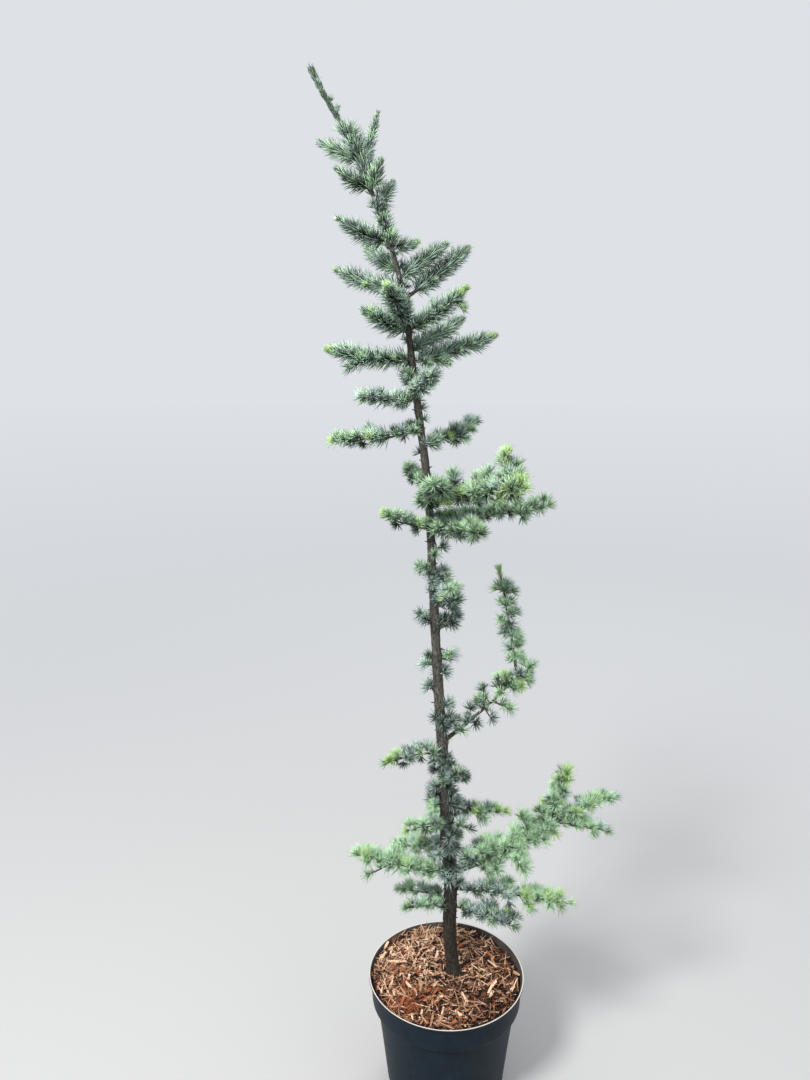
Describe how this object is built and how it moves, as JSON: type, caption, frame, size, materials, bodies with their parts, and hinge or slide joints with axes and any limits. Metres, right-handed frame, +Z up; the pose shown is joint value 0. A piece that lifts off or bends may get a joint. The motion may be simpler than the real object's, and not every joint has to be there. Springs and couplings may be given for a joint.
{
  "type": "potted atlas cedar tree",
  "caption": "Young blue-needled conifer with a thin leaning stem and open tiers of short limbs, standing in a round pot topped with bark mulch.",
  "frame": {"origin": "centre of the pot's flat underside", "axes": "+Z up along the trunk, +X to the right and -Y to the front of the side that the picture shows"},
  "size_m": [0.5515, 0.3227, 1.848],
  "materials": {
    "pot": "semi-matt dark grey moulded plastic",
    "mulch": "loose shredded bark",
    "bark": "rough young bark",
    "needles": "blue-green waxy needles"
  },
  "bodies": {
    "root": {"pot": "pot", "mulch": "mulch", "trunk": "bark", "bough_crown_right": "bark", "bough_middle_front": "bark", "bough_spire_arm": "bark", "bough_skirt_right": "bark", "bough_skirt_right_low": "bark", "foliage_leader": "needles", "foliage_stem_high": "needles", "foliage_stem_low": "needles", "foliage_tip_left": "needles", "foliage_tip_front_left": "needles", "foliage_tip_right": "needles", "foliage_tip_front": "needles", "foliage_tip_right_back": "needles", "foliage_neck_left": "needles", "foliage_neck_right": "needles", "foliage_crown_right_high": "needles", "foliage_crown_back_high": "needles", "foliage_crown_left_high": "needles", "foliage_crown_right": "needles", "foliage_crown_front": "needles", "foliage_crown_front_left": "needles", "foliage_crown_front_right": "needles", "foliage_crown_right_low": "needles", "foliage_crown_right_long": "needles", "foliage_crown_left_long": "needles", "foliage_collar_front_right": "needles", "foliage_collar_back": "needles", "foliage_collar_left": "needles", "foliage_collar_left_low": "needles", "foliage_collar_right_back": "needles", "foliage_middle_front": "needles", "foliage_middle_front_inner": "needles", "foliage_middle_upturned": "needles", "foliage_middle_back": "needles", "foliage_middle_right_long": "needles", "foliage_middle_front_low": "needles", "foliage_middle_left": "needles", "foliage_waist_front_high": "needles", "foliage_spire_arm": "needles", "foliage_spire": "needles", "foliage_waist_left": "needles", "foliage_waist_front_low": "needles", "foliage_waist_right": "needles", "foliage_waist_right_front": "needles", "foliage_waist_left_low": "needles", "foliage_skirt_left_high": "needles", "foliage_skirt_left": "needles", "foliage_skirt_left_low": "needles", "foliage_skirt_front_left": "needles", "foliage_skirt_back": "needles", "foliage_skirt_right": "needles", "foliage_skirt_tip": "needles", "foliage_skirt_drooping": "needles", "foliage_skirt_upturned": "needles", "foliage_skirt_right_low": "needles", "foliage_skirt_front_low": "needles"}
  },
  "joints": []
}
